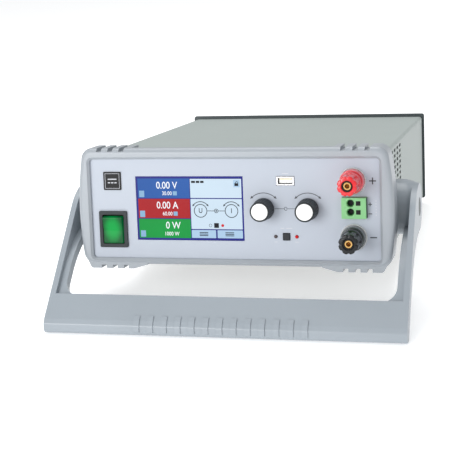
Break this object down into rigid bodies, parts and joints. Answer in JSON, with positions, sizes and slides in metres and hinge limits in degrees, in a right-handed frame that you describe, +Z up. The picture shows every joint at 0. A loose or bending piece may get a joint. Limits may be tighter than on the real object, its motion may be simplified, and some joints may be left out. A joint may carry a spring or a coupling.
{
  "type": "bench power supply",
  "caption": "Desktop DC power supply in a long sheet metal case with a moulded front frame, standing on its fold-down carry handle.",
  "frame": {"origin": "under the middle of the overall box, on the bench, standing on the folded-down handle", "axes": "+X to the right seen from the front, +Y to the rear, +Z up; the case is tilted back by about 6.5 degrees"},
  "size_m": [0.308, 0.4256, 0.1447],
  "materials": {
    "shell_grey": "satin moulded",
    "handle_grey": "satin moulded",
    "cover_paint": "fine satin paint",
    "dark_frame": "satin",
    "panel_print": "printed satin foil",
    "zinc_sheet": "zinc plated",
    "black_plastic": "semi-gloss",
    "matt_black": "matt",
    "rocker_green": "translucent, lit from inside",
    "display": "glossy touch glass",
    "knob_slate": "soft touch",
    "cap_white": "satin",
    "steel": "plain",
    "brass": "nickel flash",
    "post_red": "translucent",
    "post_black": "translucent",
    "led_red": "lit",
    "led_dark": "unlit",
    "sense_green": "satin",
    "board_green": "solder mask",
    "aluminium": "extruded",
    "rubber": "matt"
  },
  "bodies": {
    "case": {"front_bezel": "shell_grey", "front_panel": "panel_print", "badge_plate": "black_plastic", "top_cover": "cover_paint", "bottom_tray": "zinc_sheet", "rear_panel": "cover_paint", "rear_frame": "dark_frame", "rear_feet": "rubber", "rear_screws": "steel", "tray_screws": "steel", "rocker_frame": "black_plastic", "display_glass": "display", "display_module": "steel", "usb_shell": "steel", "usb_tongue": "matt_black", "button_switch": "matt_black", "standby_led": "led_dark", "output_led": "led_red", "sense_header": "matt_black", "fan_frame": "matt_black", "fan_guard": "steel", "mains_inlet": "matt_black", "dsub_socket": "steel", "service_socket": "steel", "front_board": "board_green", "main_board": "board_green", "heat_sinks": "aluminium", "transformer": "matt_black", "capacitors": "black_plastic", "choke": "brass", "pivot_boss_left": "shell_grey", "pivot_bolt_left": "steel", "pivot_boss_right": "shell_grey", "pivot_bolt_right": "steel", "voltage_encoder": "steel", "current_encoder": "steel", "positive_collar": "post_red", "positive_stud": "brass", "negative_collar": "post_black", "negative_stud": "brass"},
    "handle": {"carry_handle": "handle_grey"},
    "lock_left": {"lock_button_left": "dark_frame"},
    "lock_right": {"lock_button_right": "dark_frame"},
    "rocker": {"rocker_lever": "rocker_green"},
    "voltage_push": {"voltage_plunger": "steel"},
    "voltage_dial": {"voltage_knob": "knob_slate", "voltage_knob_cap": "cap_white"},
    "current_push": {"current_plunger": "steel"},
    "current_dial": {"current_knob": "knob_slate", "current_knob_cap": "cap_white"},
    "output_key": {"output_button": "matt_black"},
    "positive_clamp": {"positive_washer": "brass"},
    "positive_screw": {"positive_nut": "post_red"},
    "negative_clamp": {"negative_washer": "brass"},
    "negative_screw": {"negative_nut": "post_black"},
    "sense": {"sense_plug": "sense_green"},
    "fan": {"fan_rotor": "matt_black"},
    "fuse": {"fuse_drawer": "matt_black"}
  },
  "joints": [
    {"name": "handle_swing", "type": "hinge", "parent": "case", "child": "handle", "pos_m": [0, -0.09101, 0.07989], "axis": [-1, 0, 0], "range_deg": [0, 180]},
    {"name": "rocker_rock", "type": "hinge", "parent": "case", "child": "rocker", "pos_m": [-0.1076, -0.14159, 0.0733], "axis": [-1, 0, 0], "range_deg": [0, 12]},
    {"name": "voltage_knob_push", "type": "slide", "parent": "case", "child": "voltage_push", "axis": [0, 0.9935, -0.1137], "range_m": [0, 0.0006], "stiffness_N_per_m": 2500, "springref_m": -0.0012},
    {"name": "voltage_knob_turn", "type": "hinge", "parent": "voltage_push", "child": "voltage_dial", "pos_m": [0.0276, -0.15089, 0.09319], "axis": [0, -0.9935, 0.1137], "continuous": true},
    {"name": "current_knob_push", "type": "slide", "parent": "case", "child": "current_push", "axis": [0, 0.9935, -0.1137], "range_m": [0, 0.0006], "stiffness_N_per_m": 2500, "springref_m": -0.0012},
    {"name": "current_knob_turn", "type": "hinge", "parent": "current_push", "child": "current_dial", "pos_m": [0.0659, -0.15089, 0.09319], "axis": [0, -0.9935, 0.1137], "continuous": true},
    {"name": "output_button_press", "type": "slide", "parent": "case", "child": "output_key", "axis": [0, 0.9935, -0.1137], "range_m": [0, 0.0008], "stiffness_N_per_m": 1500, "springref_m": -0.0008},
    {"name": "positive_nut_travel", "type": "slide", "parent": "case", "child": "positive_clamp", "axis": [0, -0.9935, 0.1137], "range_m": [0, 0.003]},
    {"name": "positive_nut_turn", "type": "hinge", "parent": "positive_clamp", "child": "positive_screw", "pos_m": [0.1042, -0.15513, 0.11773], "axis": [0, -0.9935, 0.1137], "range_deg": [0, 1080]},
    {"name": "negative_nut_travel", "type": "slide", "parent": "case", "child": "negative_clamp", "axis": [0, -0.9935, 0.1137], "range_m": [0, 0.003]},
    {"name": "negative_nut_turn", "type": "hinge", "parent": "negative_clamp", "child": "negative_screw", "pos_m": [0.1042, -0.16056, 0.07024], "axis": [0, -0.9935, 0.1137], "range_deg": [0, 1080]},
    {"name": "lock_button_left_press", "type": "slide", "parent": "handle", "child": "lock_left", "axis": [1, 0, 0], "range_m": [0, 0.0025], "stiffness_N_per_m": 900, "springref_m": -0.003},
    {"name": "lock_button_right_press", "type": "slide", "parent": "handle", "child": "lock_right", "axis": [-1, 0, 0], "range_m": [0, 0.0025], "stiffness_N_per_m": 900, "springref_m": -0.003},
    {"name": "sense_plug_pull", "type": "slide", "parent": "case", "child": "sense", "axis": [0, -0.9935, 0.1137], "range_m": [0, 0.0115]},
    {"name": "fan_spin", "type": "hinge", "parent": "case", "child": "fan", "pos_m": [-0.062, 0.19299, 0.05493], "axis": [0, 0.9935, -0.1137], "continuous": true},
    {"name": "fuse_drawer_pull", "type": "slide", "parent": "case", "child": "fuse", "axis": [0, 0.9935, -0.1137], "range_m": [0, 0.018]}
  ],
  "couplings": [
    {"joint": "positive_nut_turn", "follows": "positive_nut_travel", "rad_per_m": 6283},
    {"joint": "negative_nut_turn", "follows": "negative_nut_travel", "rad_per_m": 6283}
  ]
}
